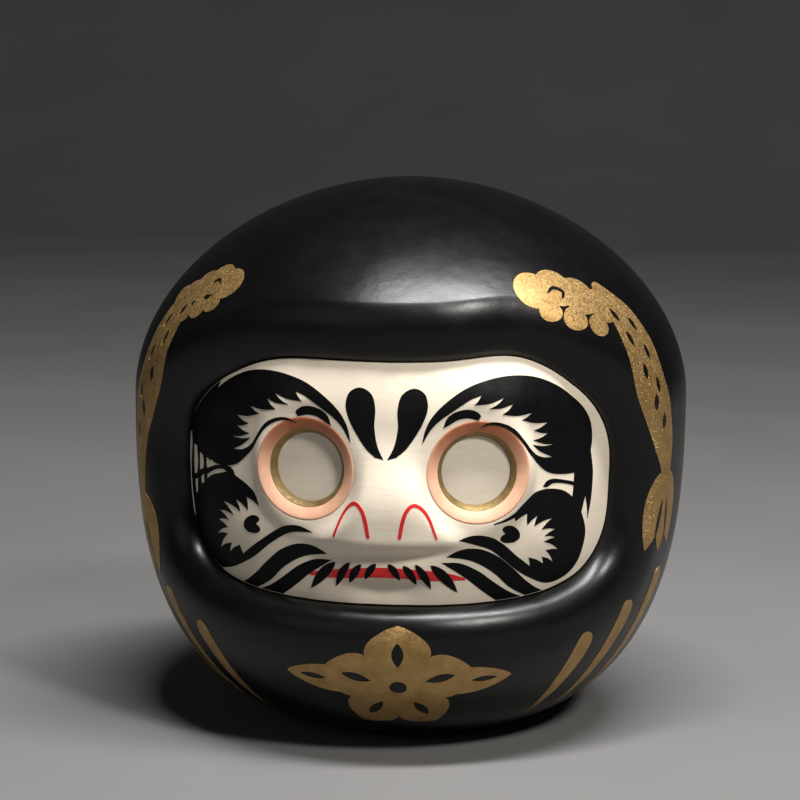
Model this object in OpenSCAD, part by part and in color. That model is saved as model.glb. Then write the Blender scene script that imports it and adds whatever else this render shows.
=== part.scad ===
// Daruma doll, a hollow roly-poly of moulded paper.
// Two paper shells meet in the plane y = 0. The front one has a rolled opening with a ledge
// inside it, where the relief face panel sits. Blank eye discs close the two eye sockets from
// behind, and a clay weight closes the bottom and keeps the doll upright.
// Millimetres, +Z up, face towards -Y, origin at the centre of the underside.

/* [Body] */
// Width of the body, which is round in plan
body_w = 100; // [96:1:106]
// Height of the body
body_h = 98; // [95:1:102]
// Height of the widest level above the floor
wide_z = 59.5; // [58:0.5:61]
// Fullness of the upper half, 2 being a true ellipse
crown_fullness = 1.9; // [1.8:0.05:2.1]
// Fullness of the lower half
belly_fullness = 2.8; // [2.6:0.05:3]
// Depth of the belly's round bottom that the flat underside cuts away
base_cut = 1.8; // [1.4:0.1:2.4]
// Thickness of the moulded paper
wall = 2.2; // [1.8:0.1:2.6]

/* [Face opening] */
// Half width of the opening, measured round the body
face_half_w = 52; // [50:0.5:54]
// Half height of the opening
face_half_h = 21; // [20:0.2:22]
// Height of the middle of the opening above the floor
face_z = 49; // [48:0.2:50.5]
// Squareness of the opening's upper corners
upper_corner = 2.35; // [2.3:0.05:3.2]
// Squareness of the opening's lower corners
lower_corner = 3.8; // [3:0.1:4.4]
// How much higher the opening arches over each brow
brow_arch = 2; // [1:0.2:2.4]
// How much more it arches on the viewer's right than in the middle, as on a hand-made mould
arch_tilt = 0.8; // [0:0.1:1]
// Distance of each arch from the middle, measured round the body
brow_arch_s = 28; // [25:1:29]
// Depth of the face below the body's surface
recess = 7; // [6:0.5:8]
// Width of the rounded lip round the opening
lip_w = 10; // [8:0.5:11]
// Fullness of the lip under the hood, 2 being a true ellipse and 1 a plain slope
hood_lip_fullness = 1.3; // [1.2:0.1:2]
// Width of the ledge that the face panel sits on
ledge_w = 2.5; // [2:0.5:3.5]

/* [Face panel] */
// Thickness of the face panel at its rim
panel_t = 3.2; // [3:0.1:3.6]
// Gap all round between the panel and the opening
panel_gap = 0.25; // [0.15:0.05:0.4]
// Height of the nose above the face
nose_h = 3.4; // [2.5:0.1:4]
// Height of the ridge of the mouth above the face
mouth_h = 0.9; // [0.5:0.1:1.3]
// Depth of the dimple under the mouth
dimple_depth = 0.8; // [0:0.1:1]
// Height of the cheeks above the face
cheek_h = 1; // [0.5:0.1:1.5]
// Height of the brow ridges above the face
brow_h = 0.8; // [0.4:0.1:1.2]

/* [Eyes] */
// Distance of each eye from the middle of the face, measured round the body
eye_s = 17.4; // [16.6:0.1:18]
// How far both eyes sit to the viewer's right of the true middle, as on a hand-made mould
eye_shift = 0.8; // [0:0.1:1]
// Height of the eyes above the floor
eye_z = 51.4; // [50.5:0.1:52.5]
// Angle at which each eye looks outward
eye_turn = 15; // [12:0.5:19]
// Distance of the rim of the eye sockets from the body's axis
eye_rim_d = 42.8; // [42.4:0.1:43.2]
// Radius of the bevel round each socket
bevel_r = 8.7; // [8:0.1:9]
// Depth of the bevel
bevel_depth = 0.9; // [0.6:0.1:1.2]
// Radius of the socket at its rim, inside the bevel
socket_rim_r = 6.75; // [6.3:0.05:6.9]
// Radius of the socket at its floor, which is the part of the disc that shows
socket_floor_r = 5.9; // [5.3:0.05:5.9]
// Depth of the socket's floor below the face round it
socket_depth = 2.2; // [1.8:0.1:2.4]
// Radius of the eye disc
disc_r = 6.4; // [6.1:0.05:6.6]
// Thickness of the eye disc
disc_t = 1.4; // [1:0.1:1.6]

/* [Base] */
// Height of the joint between the shells and the weight
base_joint_z = 3; // [2.5:0.25:4]
// Height to which the plug of the weight fills the bottom of the body
plug_z = 9; // [7:0.5:11]
// Height of the top of the weight's dome
dome_z = 15; // [13:0.5:18]
// Gap between the plug and the shells
plug_gap = 0.4; // [0.3:0.05:0.6]
// Thickness of the paper under the weight
paper_t = 0.4; // [0.3:0.05:0.5]
// Radius of the paper under the weight
paper_r = 20.5; // [19:0.5:21]

/* [Seam strips] */
// Width of the paper strips over the seam
strip_w = 12; // [9:1:15]
// Thickness of the strips
strip_t = 0.4; // [0.3:0.1:0.6]
// Thickness of the paste between the strips and the shells
paste = 0.15; // [0.1:0.05:0.2]
// Height at which the side strips begin
strip_low_z = 12; // [10.5:0.5:16]
// Height at which the side strips end
strip_high_z = 76; // [72:1:78]
// Height at which the crown strip begins
crown_strip_z = 81; // [80:1:84]

/* [Hidden] */
$fn = 72;

half_w = body_w / 2;
crown_h = body_h - wide_z;
belly_h = wide_z + base_cut;

black = [0.03, 0.03, 0.035];
ivory = [0.90, 0.84, 0.74];
washi = [0.86, 0.82, 0.72];
clay = [0.16, 0.13, 0.12];

// Spokes that run over the front shell from the opening to its edge
seam_spokes = 64;
base_spokes = 16;
// Angle below the horizontal at which the base side of the opening begins
base_side_angle = 50;
// Steps across the lip, over the outside and over the inside of the front shell
lip_steps = 6;
outer_steps = 9;
inner_steps = 5;
// Points round the face panel, and rings on its front and its back
panel_points = 72;
panel_front_rings = 15;
panel_back_rings = 6;

// ---- The body as a surface of revolution -------------------------------------------------

// Radius of the body at height z, or of the same surface one skin further in
function body_r(z, skin = 0) =
    let (upper = z >= wide_z,
         h = (upper ? crown_h : belly_h) - skin,
         n = upper ? crown_fullness : belly_fullness,
         t = min(1, abs(z - wide_z) / h))
    (half_w - skin) * pow(1 - pow(t, n), 1 / n);

// Point of the body in direction d from the axis at the widest level
function body_point(d, skin = 0) =
    let (upper = d[2] >= 0,
         h = (upper ? crown_h : belly_h) - skin,
         n = upper ? crown_fullness : belly_fullness,
         across = norm([d[0], d[1]]) / (half_w - skin),
         reach = pow(pow(across, n) + pow(abs(d[2]) / h, n), -1 / n))
    [0, 0, wide_z] + reach * d;

// Azimuth of an arc length s measured round the widest level from the middle of the front
function azimuth(s) = s / half_w * 180 / PI;

// Point at arc length s and height z, at radius r from the axis
function at_radius(s, z, r) = [r * sin(azimuth(s)), -r * cos(azimuth(s)), z];

// Profile of the body from one height to another, as points of [radius, height]
function body_profile(z_from, z_to, skin, steps) =
    [for (i = [0 : steps])
        let (z = z_from + (z_to - z_from) * (1 - cos(180 * i / steps)) / 2)
        [body_r(z, skin), z]];

// ---- The face opening ---------------------------------------------------------------------

function signed_pow(v, p) = sign(v) * pow(abs(v), p);

// Bell curve that is 1 at the centre and falls off over width w
function bell(v, w, p = 2) = exp(-pow(abs(v) / w, p));

// Smooth step from 0 to 1 as v goes from a to b
function ease(v, a, b) = let (t = min(1, max(0, (v - a) / (b - a)))) t * t * (3 - 2 * t);

// Point [s, z] on the opening's outline at angle u, moved outward by grow
function outline(u, grow = 0) =
    let (n = sin(u) >= 0 ? upper_corner : lower_corner,
         s = (face_half_w + grow) * signed_pow(cos(u), 2 / n),
         height = brow_arch + arch_tilt * s / brow_arch_s,
         arch = height * bell(abs(s) - brow_arch_s, 13) * ease(sin(u), 0, 0.5))
    [s, face_z + (face_half_h + grow) * signed_pow(sin(u), 2 / n) + arch];

// Fullness of the lip at angle u on the outline: sharper under the hood than elsewhere
function lip_fullness(u) = 2 + (hood_lip_fullness - 2) * ease(sin(u), 0.1, 0.8);

// ---- Meshes made of rings -----------------------------------------------------------------

// Two triangles for each cell between ring a and ring b, which both have n points
function band(a, b, n) =
    [for (j = [0 : n - 1], half = [0, 1])
        let (k = (j + 1) % n)
        half == 0 ? [a * n + j, b * n + j, b * n + k] : [a * n + j, b * n + k, a * n + k]];

function flatten(lists) = [for (part = lists, item = part) item];

// Closed tube through a cycle of rings
module ring_cycle(rings) {
    count = len(rings);
    n = len(rings[0]);
    polyhedron(
        points = flatten(rings),
        faces = flatten([for (i = [0 : count - 1]) band(i, (i + 1) % count, n)]),
        convexity = 8);
}

// Closed skin through a row of rings, with one pole before the first and one after the last
module ring_row(rings, first_pole, last_pole) {
    count = len(rings);
    n = len(rings[0]);
    polyhedron(
        points = concat(flatten(rings), [first_pole, last_pole]),
        faces = concat(
            [for (j = [0 : n - 1]) [count * n, j, (j + 1) % n]],
            flatten([for (i = [0 : count - 2]) band(i, i + 1, n)]),
            [for (j = [0 : n - 1]) [count * n + 1, (count - 1) * n + (j + 1) % n, (count - 1) * n + j]]),
        convexity = 8);
}

// ---- Front shell --------------------------------------------------------------------------

spokes = seam_spokes + base_spokes;

// Angle on the opening's outline where spoke j starts
function spoke_angle(j) =
    j < seam_spokes
        ? -base_side_angle + (180 + 2 * base_side_angle) * j / seam_spokes
        : 180 + base_side_angle + (180 - 2 * base_side_angle) * (j - seam_spokes) / base_spokes;

// Point where spoke j ends: on the seam with the rear shell, or on the joint with the weight
function spoke_end(j, skin) =
    let (drop = wide_z - base_joint_z,
         rim_r = body_r(base_joint_z, skin),
         corner = atan2(drop, rim_r))
    j <= seam_spokes
        ? let (phi = -corner + (180 + 2 * corner) * j / seam_spokes)
          (j == 0 || j == seam_spokes)
              ? [j == 0 ? rim_r : -rim_r, 0, base_joint_z]
              : body_point([cos(phi), 0, sin(phi)], skin)
        : let (beta = -90 + 180 * (j - seam_spokes) / base_spokes)
          [rim_r * sin(beta), -rim_r * cos(beta), base_joint_z];

function on_spoke_ring(grow, skin, depth) =
    [for (j = [0 : spokes - 1])
        let (p = outline(spoke_angle(j), grow))
        at_radius(p[0], p[1], body_r(p[1], skin) - depth)];

// Ring at angle a across a lip: 0 where it meets the face at the given depth, 90 where it runs
// into the body. The lip reaches from start to width outside the opening.
function lip_ring(a, start, width, skin, depth) =
    [for (j = [0 : spokes - 1])
        let (u = spoke_angle(j),
             e = 2 / lip_fullness(u),
             p = outline(u, width - (width - start) * pow(cos(a), e)))
        at_radius(p[0], p[1], body_r(p[1], skin) - depth * (1 - pow(sin(a), e)))];

// Ring a fraction t of the way from the lip to the shell's edge
function shell_ring(t, grow, skin) =
    [for (j = [0 : spokes - 1])
        let (p = outline(spoke_angle(j), grow),
             from = at_radius(p[0], p[1], body_r(p[1], skin)) - [0, 0, wide_z],
             to = spoke_end(j, skin) - [0, 0, wide_z])
        t == 1 ? spoke_end(j, skin)
               : body_point((1 - t) * from / norm(from) + t * to / norm(to), skin)];

module front_shell() {
    seat_depth = recess + panel_t;
    back_depth = seat_depth + wall;
    inner_lip_w = lip_w + ledge_w;
    seat = [on_spoke_ring(-ledge_w, 0, seat_depth), on_spoke_ring(0, 0, seat_depth)];
    lip = [for (i = [0 : lip_steps]) lip_ring(90 * i / lip_steps, 0, lip_w, 0, recess)];
    outside = [for (i = [1 : outer_steps]) shell_ring(i / outer_steps, lip_w, 0)];
    inside = [for (i = [inner_steps : -1 : 1]) shell_ring(i / inner_steps, inner_lip_w, wall)];
    inner_lip = [for (i = [lip_steps : -1 : 0])
        lip_ring(90 * i / lip_steps, wall, inner_lip_w, wall, back_depth - wall)];
    ledge_back = [on_spoke_ring(-ledge_w, wall, back_depth - wall)];
    color(black) ring_cycle(concat(seat, lip, outside, inside, inner_lip, ledge_back));
}

// ---- Rear shell ---------------------------------------------------------------------------

module rear_shell() {
    outer = body_profile(base_joint_z, body_h, 0, 36);
    inner = body_profile(body_h - wall, base_joint_z, wall, 36);
    color(black) difference() {
        rotate_extrude() polygon(concat(outer, inner));
        translate([-body_w, -body_w, -1]) cube([2 * body_w, body_w, body_h + 2]);
    }
}

// ---- Face panel and eye discs -------------------------------------------------------------

// Half width of the nose at height z: wide at the nostrils and narrow between the eyes
function nose_half_w(z) = 13 - 7 * ease(z, 42, 54);

// Height of the modelled features above the plain face
function relief(s, z) =
    nose_h * bell(s, nose_half_w(z), 3) * (z > 43 ? bell(z - 43, 10, 2.5) : ease(z, 37.2, 39.8))
    + mouth_h * bell(s, 11, 4) * bell(z - 34.4, 2, 3)
    - dimple_depth * bell(s, 7, 3) * bell(z - 30.6, 1.8)
    + cheek_h * bell(abs(s) - 34, 10) * bell(z - 39, 8)
    + brow_h * bell(abs(s) - 24, 12) * bell(z - 63, 5);

// Arc length from the middle of the front to the eye on one side, 1 being the viewer's right
function eye_arc(side) = side * eye_s + eye_shift;

// Share of the flat pad round the eye on one side in the face at [s, z]: 1 on the pad, 0 off it
function pad_share(side, s, z) =
    1 - ease(norm([s - eye_arc(side), z - eye_z]), bevel_r + 0.4, bevel_r + 4.5);

// Radius of the face's front surface
function face_r(s, z) =
    let (plain = body_r(z) - recess + relief(s, z),
         side = s > eye_shift ? 1 : -1,
         pad = eye_rim_d / cos(azimuth(s) - side * eye_turn),
         share = pad_share(side, s, z))
    plain * (1 - share) + pad * share;

// Point of the panel at a share q of the way from its middle to its rim
function panel_point(u, q) = [0, face_z] + q * (outline(u, -panel_gap) - [0, face_z]);

module panel_blank() {
    function front_ring(q) = [for (j = [0 : panel_points - 1])
        let (p = panel_point(360 * j / panel_points, q)) at_radius(p[0], p[1], face_r(p[0], p[1]))];
    function back_ring(q) = [for (j = [0 : panel_points - 1])
        let (p = panel_point(360 * j / panel_points, q))
        at_radius(p[0], p[1], body_r(p[1]) - recess - panel_t)];
    front = [for (i = [1 : panel_front_rings]) front_ring(i / panel_front_rings)];
    back = [for (i = [panel_back_rings : -1 : 1]) back_ring(i / panel_back_rings)];
    ring_row(concat(front, back),
             at_radius(0, face_z, face_r(0, face_z)),
             at_radius(0, face_z, body_r(face_z) - recess - panel_t));
}

// Places its children on the axis of one socket, at the level of the face round it, looking outward
module at_eye(side) {
    swing = azimuth(eye_arc(side)) - side * eye_turn;
    rim_centre = at_radius(eye_arc(side), eye_z, eye_rim_d / cos(swing));
    translate(rim_centre) rotate([90, 0, side * eye_turn]) children();
}

// Space of one socket: a bevel, a cone that narrows to the floor, and the seat of the disc behind
module socket_space() {
    bevel_slope = (bevel_r - socket_rim_r) / bevel_depth;
    in_front = 1;
    behind = 3;
    translate([0, 0, -bevel_depth])
        cylinder(h = bevel_depth + in_front, r1 = socket_rim_r, r2 = bevel_r + bevel_slope * in_front);
    translate([0, 0, -socket_depth])
        cylinder(h = socket_depth - bevel_depth, r1 = socket_floor_r, r2 = socket_rim_r);
    translate([0, 0, -socket_depth - behind]) cylinder(h = behind, r = disc_r + 0.1);
}

module face_panel() {
    color(ivory) difference() {
        panel_blank();
        for (side = [-1, 1]) at_eye(side) socket_space();
    }
}

module eye_disc(side) {
    color(ivory) at_eye(side) translate([0, 0, -socket_depth - disc_t]) cylinder(h = disc_t, r = disc_r);
}

module eye_disc_left() { eye_disc(-1); }
module eye_disc_right() { eye_disc(1); }

// ---- Seam strips --------------------------------------------------------------------------

// Band of paper pasted inside the shells between two heights, all the way round
module paper_band(z_from, z_to) {
    near = wall + paste;
    far = near + strip_t;
    rotate_extrude() polygon(concat(
        body_profile(z_from, min(z_to, body_h - near), near, 24),
        body_profile(min(z_to, body_h - far), z_from, far, 24)));
}

module side_strip(side) {
    color(washi) intersection() {
        paper_band(strip_low_z, strip_high_z);
        translate([side > 0 ? 0 : -body_w, -strip_w / 2, 0]) cube([body_w, strip_w, body_h]);
    }
}

module seam_strip_left() { side_strip(-1); }
module seam_strip_right() { side_strip(1); }

module seam_strip_crown() {
    color(washi) intersection() {
        paper_band(crown_strip_z, body_h);
        translate([-body_w / 2, -strip_w / 2, 0]) cube([body_w, strip_w, body_h]);
    }
}

// ---- Base ---------------------------------------------------------------------------------

module base_weight() {
    plug_r = body_r(base_joint_z, wall) - plug_gap;
    dome = [for (a = [0 : 10 : 90]) [plug_r * cos(a), plug_z + (dome_z - plug_z) * sin(a)]];
    color(clay) rotate_extrude() polygon(concat(
        [[0, paper_t]],
        body_profile(paper_t, base_joint_z, 0, 8),
        [[plug_r, base_joint_z]],
        dome));
}

module base_paper() {
    color(washi) cylinder(h = paper_t, r = paper_r);
}

front_shell();
rear_shell();
face_panel();
eye_disc_left();
eye_disc_right();
seam_strip_left();
seam_strip_right();
seam_strip_crown();
base_weight();
base_paper();
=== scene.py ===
import math

import bmesh
import bpy
import numpy as np
from mathutils import Matrix, Vector
from mathutils.geometry import delaunay_2d_cdt


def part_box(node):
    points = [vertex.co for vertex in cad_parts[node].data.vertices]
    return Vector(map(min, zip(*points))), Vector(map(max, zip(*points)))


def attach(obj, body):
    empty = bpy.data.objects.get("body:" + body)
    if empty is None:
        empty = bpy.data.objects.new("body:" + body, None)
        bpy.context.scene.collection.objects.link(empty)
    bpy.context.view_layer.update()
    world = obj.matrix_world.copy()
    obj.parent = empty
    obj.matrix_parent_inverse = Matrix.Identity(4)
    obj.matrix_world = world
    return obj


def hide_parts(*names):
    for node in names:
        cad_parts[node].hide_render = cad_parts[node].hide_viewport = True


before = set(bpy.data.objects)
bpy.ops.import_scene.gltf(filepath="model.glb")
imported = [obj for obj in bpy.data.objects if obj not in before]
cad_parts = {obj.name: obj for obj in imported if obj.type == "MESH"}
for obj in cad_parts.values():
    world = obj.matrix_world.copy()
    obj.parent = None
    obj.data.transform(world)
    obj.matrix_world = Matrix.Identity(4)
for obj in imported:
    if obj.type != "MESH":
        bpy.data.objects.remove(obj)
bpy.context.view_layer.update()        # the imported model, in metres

# ---- Sizes, in millimetres ----
# The imported model's boxes give the main ones. The rest are the CAD model's own values, for the same
# surfaces.

MM = 0.001


def box_mm(node):
    low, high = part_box(node)
    return np.array(low) / MM, np.array(high) / MM


REAR_LOW, REAR_HIGH = box_mm("rear_shell")
HALF_W = (REAR_HIGH[0] - REAR_LOW[0]) / 2
BODY_H = REAR_HIGH[2]
BASE_JOINT_Z = REAR_LOW[2]
WIDE_Z, BASE_CUT = 59.5, 1.8
CROWN_H = BODY_H - WIDE_Z
BELLY_H = WIDE_Z + BASE_CUT
CROWN_FULLNESS, BELLY_FULLNESS = 1.9, 2.8
WALL = 2.2

PANEL_GAP = 0.25
FACE_HALF_W, FACE_Z = 52.0, 49.0
FACE_HALF_H = FACE_Z - box_mm("face_panel")[0][2] + PANEL_GAP
UPPER_CORNER, LOWER_CORNER = 2.35, 3.8
BROW_ARCH, ARCH_TILT, BROW_ARCH_S = 2.0, 0.8, 28.0
RECESS, PANEL_T = 7.0, 3.2
LIP_W, LEDGE_W = 10.0, 2.5
HOOD_LIP_FULLNESS = 1.3
SEAT_DEPTH = RECESS + PANEL_T
BACK_DEPTH = SEAT_DEPTH + WALL
OPENING_TAPER = 0.1
NOSE_H, MOUTH_H, DIMPLE_DEPTH, CHEEK_H, BROW_H = 3.4, 0.9, 0.8, 1.0, 0.8

EYE_S, EYE_SHIFT, EYE_Z = 17.4, 0.8, 51.4
EYE_TURN = math.radians(15)
EYE_RIM_D = 42.8
SOCKET_R, DISC_SHOWN_R = 6.75, 5.9
BEVEL_R = 8.7
PAD_R, PAD_FADE_R = BEVEL_R + 0.4, BEVEL_R + 4.5
FLOOR_DEPTH = 2.2
DISC_R, DISC_T = 6.4, 1.4
DISC_SEAT_R, DISC_BULGE = DISC_R + 0.1, 0.1

PLUG_GAP, PLUG_Z, DOME_Z = 0.4, 9.0, 15.0

PAPER_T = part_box("base_paper")[1][2] / MM
PAPER_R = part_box("base_paper")[1][0] / MM

# ---- The surfaces: the body, its face opening and the modelled face ----


def body_r(z, skin=0.0):
    """Radius of the body at height z, or of the same surface one skin further in."""
    z = np.asarray(z, float)
    upper = z >= WIDE_Z
    h = np.where(upper, CROWN_H, BELLY_H) - skin
    n = np.where(upper, CROWN_FULLNESS, BELLY_FULLNESS)
    t = np.minimum(1.0, np.abs(z - WIDE_Z) / h)
    return (HALF_W - skin) * (1 - t ** n) ** (1 / n)


def body_point(d, skin=0.0):
    """Point of the body in direction d from the axis at the widest level."""
    d = np.asarray(d, float)
    upper = d[..., 2] >= 0
    h = np.where(upper, CROWN_H, BELLY_H) - skin
    n = np.where(upper, CROWN_FULLNESS, BELLY_FULLNESS)
    across = np.hypot(d[..., 0], d[..., 1]) / (HALF_W - skin)
    reach = (across ** n + (np.abs(d[..., 2]) / h) ** n) ** (-1 / n)
    return d * reach[..., None] + np.array([0, 0, WIDE_Z])


def at_radius(s, z, r):
    """Point at arc length s round the front, height z and radius r."""
    a = np.asarray(s, float) / HALF_W
    return np.stack([r * np.sin(a), -r * np.cos(a), np.asarray(z, float) + 0 * a], axis=-1)


def full_turn(count):
    """Angles evenly spaced over a full turn."""
    return np.linspace(0, 2 * math.pi, count, endpoint=False)


def signed_pow(v, p):
    return np.sign(v) * np.abs(v) ** p


def outline(u, grow=0.0):
    """[s, z] on the face opening's outline at angle u, moved outward by grow."""
    u = np.asarray(u, float)
    n = np.where(np.sin(u) >= 0, UPPER_CORNER, LOWER_CORNER)
    s = (FACE_HALF_W + grow) * signed_pow(np.cos(u), 2 / n)
    z = FACE_Z + (FACE_HALF_H + grow) * signed_pow(np.sin(u), 2 / n)
    return np.stack([s, z + hood_arch(s, np.sin(u))], axis=-1)


def hood_arch(s, rise):
    """How much higher the outline arches at arc length s, rise being the sine of its angle there."""
    height = BROW_ARCH + ARCH_TILT * s / BROW_ARCH_S
    return height * bell(np.abs(s) - BROW_ARCH_S, 13) * ease(rise, 0, 0.5)


def lip_fullness(rise):
    """Fullness of the lip, which is sharper under the hood than elsewhere."""
    return 2 + (HOOD_LIP_FULLNESS - 2) * ease(rise, 0.1, 0.8)


def lip_depth(s, z):
    """Depth of the shell's front below the plain body at [s, z], on the lip and outside it."""
    upper = z >= FACE_Z
    n = np.where(upper, UPPER_CORNER, LOWER_CORNER)
    halvings = 22
    low, high = np.zeros(len(s)), np.full(len(s), LIP_W)
    for _ in range(halvings):
        grow = (low + high) / 2
        across = np.minimum(np.abs(s) / (FACE_HALF_W + grow), 1.0)
        rise = np.where(upper, 1, -1) * np.sqrt(1 - across ** n)
        up = np.abs(z - hood_arch(s, rise) - FACE_Z) / (FACE_HALF_H + grow)
        beyond = (np.abs(s) / (FACE_HALF_W + grow)) ** n + up ** n > 1
        low, high = np.where(beyond, grow, low), np.where(beyond, high, grow)
    e = 2 / lip_fullness(rise)
    cos_a = (1 - grow / LIP_W) ** (1 / e)
    return RECESS * (1 - (1 - cos_a ** 2) ** (e / 2)) * (grow < LIP_W - 0.001)


def bell(v, w, p=2.0):
    return np.exp(-(np.abs(v) / w) ** p)


def ease(v, a, b):
    t = np.clip((np.asarray(v, float) - a) / (b - a), 0, 1)
    return t * t * (3 - 2 * t)


def eye_arc(side):
    """Arc length from the middle of the front to one eye, side being 1 on the viewer's right."""
    return side * EYE_S + EYE_SHIFT


def relief(s, z):
    """Height of the modelled features above the plain face, each with its shape across and up it."""
    nose_w = 13 - 7 * ease(z, 42, 54)
    bridge = np.where(z > 43, bell(z - 43, 10, 2.5), 1)
    nose = NOSE_H * bell(s, nose_w, 3) * ease(z, 37.2, 39.8) * bridge
    mouth = MOUTH_H * bell(s, 11, 4) * bell(z - 34.4, 2.0, 3)
    dimple = DIMPLE_DEPTH * bell(s, 7, 3) * bell(z - 30.6, 1.8)
    cheeks = CHEEK_H * bell(np.abs(s) - 34, 10) * bell(z - 39, 8)
    brows = BROW_H * bell(np.abs(s) - 24, 12) * bell(z - 63, 5)
    unevenness = 0.06 * np.sin(0.31 * s + 0.5) * np.sin(0.43 * z) + 0.04 * np.sin(0.77 * s - 0.2 * z)
    return nose + (mouth - dimple) + cheeks + brows + unevenness


def face_r(s, z):
    """Radius of the face's front surface, with its flat pads round the eyes."""
    plain = body_r(z) - RECESS + relief(s, z)
    side = np.where(np.asarray(s) > EYE_SHIFT, 1, -1)
    pad = EYE_RIM_D / np.cos(s / HALF_W - side * EYE_TURN)
    share = 1 - ease(np.hypot(s - eye_arc(side), z - EYE_Z), PAD_R, PAD_FADE_R)
    return plain * (1 - share) + pad * share


def face_surface(uv):
    return at_radius(uv[:, 0], uv[:, 1], face_r(uv[:, 0], uv[:, 1]))


def body_surface(uv):
    """Body at azimuth arc length u and at elevation v, both in millimetres of a half-width circle."""
    a, b = uv[:, 0] / HALF_W, uv[:, 1] / HALF_W
    return body_point(np.stack([np.sin(a) * np.cos(b), -np.cos(a) * np.cos(b), np.sin(b)], axis=-1))


def shell_surface(uv):
    """The same point of the body, moved in where the lip of the face opening rounds it off."""
    p = body_surface(uv)
    r = np.hypot(p[:, 0], p[:, 1])
    depth = lip_depth(HALF_W * np.arctan2(p[:, 0], -p[:, 1]), p[:, 2])
    return p * np.stack([1 - depth / r, 1 - depth / r, np.ones(len(r))], axis=-1)


def lifted(surface, uv, lift):
    """Points of a surface moved outward along its normal."""
    e = 0.05
    du = surface(uv + [e, 0]) - surface(uv - [e, 0])
    dv = surface(uv + [0, e]) - surface(uv - [0, e])
    normal = np.cross(du, dv)
    normal /= np.linalg.norm(normal, axis=1)[:, None]
    return surface(uv) + normal * np.asarray(lift, float).reshape(-1, 1)


# ---- Mesh helpers ----


def linked(name, data):
    """A new object in the scene."""
    obj = bpy.data.objects.new(name, data)
    bpy.context.scene.collection.objects.link(obj)
    return obj


def make_object(name, verts, faces, material, sharp=()):
    mesh = bpy.data.meshes.new(name)
    mesh.from_pydata((np.asarray(verts) * MM).tolist(), [], [tuple(int(i) for i in f) for f in faces])
    mesh.materials.append(material)
    mesh.polygons.foreach_set("use_smooth", [True] * len(mesh.polygons))
    if len(sharp):
        keys = {tuple(sorted((int(a), int(b)))) for a, b in sharp}
        marks = mesh.attributes.new("sharp_edge", "BOOLEAN", "EDGE")
        marks.data.foreach_set("value", [tuple(sorted(e.vertices)) in keys for e in mesh.edges])
    mesh.validate()
    mesh.update()
    return linked(name, mesh)


def merge_doubles(obj, distance):
    """Joins the object's points that lie at the same place."""
    mesh = bmesh.new()
    mesh.from_mesh(obj.data)
    bmesh.ops.remove_doubles(mesh, verts=mesh.verts, dist=distance)
    mesh.to_mesh(obj.data)
    mesh.free()


def part(obj, slot, *nodes):
    """Rides the piece on the doll's body and hides the CAD nodes it stands for. The slot is not used."""
    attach(obj, "root")
    if nodes:
        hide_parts(*nodes)
    return obj


def ring_faces(count, n, cyclic=False):
    """Quads between neighbouring rings of n points each."""
    rows = range(count if cyclic else count - 1)
    return [(i * n + j, (i + 1) % count * n + j, (i + 1) % count * n + (j + 1) % n, i * n + (j + 1) % n)
            for i in rows for j in range(n)]


def ring_edges(rings, n):
    """Edges of some of the rings of n points each."""
    return [(r * n + j, r * n + (j + 1) % n) for r in rings for j in range(n)]


def inside(points, loop):
    """Which points lie inside a closed loop."""
    x, y = points[:, 0][:, None], points[:, 1][:, None]
    x0, y0 = loop[:, 0][None], loop[:, 1][None]
    x1, y1 = np.roll(loop[:, 0], -1)[None], np.roll(loop[:, 1], -1)[None]
    with np.errstate(divide="ignore", invalid="ignore"):
        crossing = ((y0 > y) != (y1 > y)) & (x < (x1 - x0) * (y - y0) / (y1 - y0) + x0)
    return crossing.sum(axis=1) % 2 == 1


def in_region(points, adds, cuts, within):
    keep = np.zeros(len(points), bool)
    for loop in adds:
        keep |= inside(points, loop)
    for loop in cuts:
        keep &= ~inside(points, loop)
    if within is not None:
        keep &= inside(points, within)
    return keep


def triangulate(adds, cuts, step, within=None):
    """Even triangles over a flat region, with its outlines kept as edges. Returns points, triangles."""
    row_pitch, clearance = 0.866 * step, 0.55 * step
    smallest_area, chunk_size = 1e-7, 400
    loops = list(adds) + list(cuts) + ([] if within is None else [within])
    low = np.min([loop.min(axis=0) for loop in adds], axis=0)
    high = np.max([loop.max(axis=0) for loop in adds], axis=0)
    rows = np.arange(low[1], high[1], row_pitch)
    grid = np.array([(x + (i % 2) * step / 2, y) for i, y in enumerate(rows)
                     for x in np.arange(low[0], high[0], step)]).reshape(-1, 2)
    border = np.concatenate(loops)
    if len(grid):
        near = np.concatenate([(np.hypot(*(chunk[:, None] - border[None]).transpose(2, 0, 1))).min(axis=1)
                               for chunk in np.array_split(grid, max(1, len(grid) // chunk_size))])
        grid = grid[(near > clearance) & in_region(grid, adds, cuts, within)]
    edges, start = [], 0
    for loop in loops:
        n = len(loop)
        edges += [(start + j, start + (j + 1) % n) for j in range(n)]
        start += n
    flat = np.concatenate([border, grid])
    verts, _, tris, *_ = delaunay_2d_cdt([Vector(p) for p in flat], edges, [], 0, 1e-5)
    points = np.array([(v.x, v.y) for v in verts])
    tris = np.array([t for t in tris if len(t) == 3])
    keep = in_region(points[tris].mean(axis=1), adds, cuts, within)
    tris = tris[keep]
    a, b, c = points[tris[:, 0]], points[tris[:, 1]], points[tris[:, 2]]
    area = (b[:, 0] - a[:, 0]) * (c[:, 1] - a[:, 1]) - (b[:, 1] - a[:, 1]) * (c[:, 0] - a[:, 0])
    tris = tris[np.abs(area) > smallest_area]
    area = area[np.abs(area) > smallest_area]
    tris[area < 0] = tris[area < 0][:, ::-1]
    used = np.unique(tris)
    renumber = np.full(len(points), -1)
    renumber[used] = np.arange(len(used))
    return points[used], renumber[tris]


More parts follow.
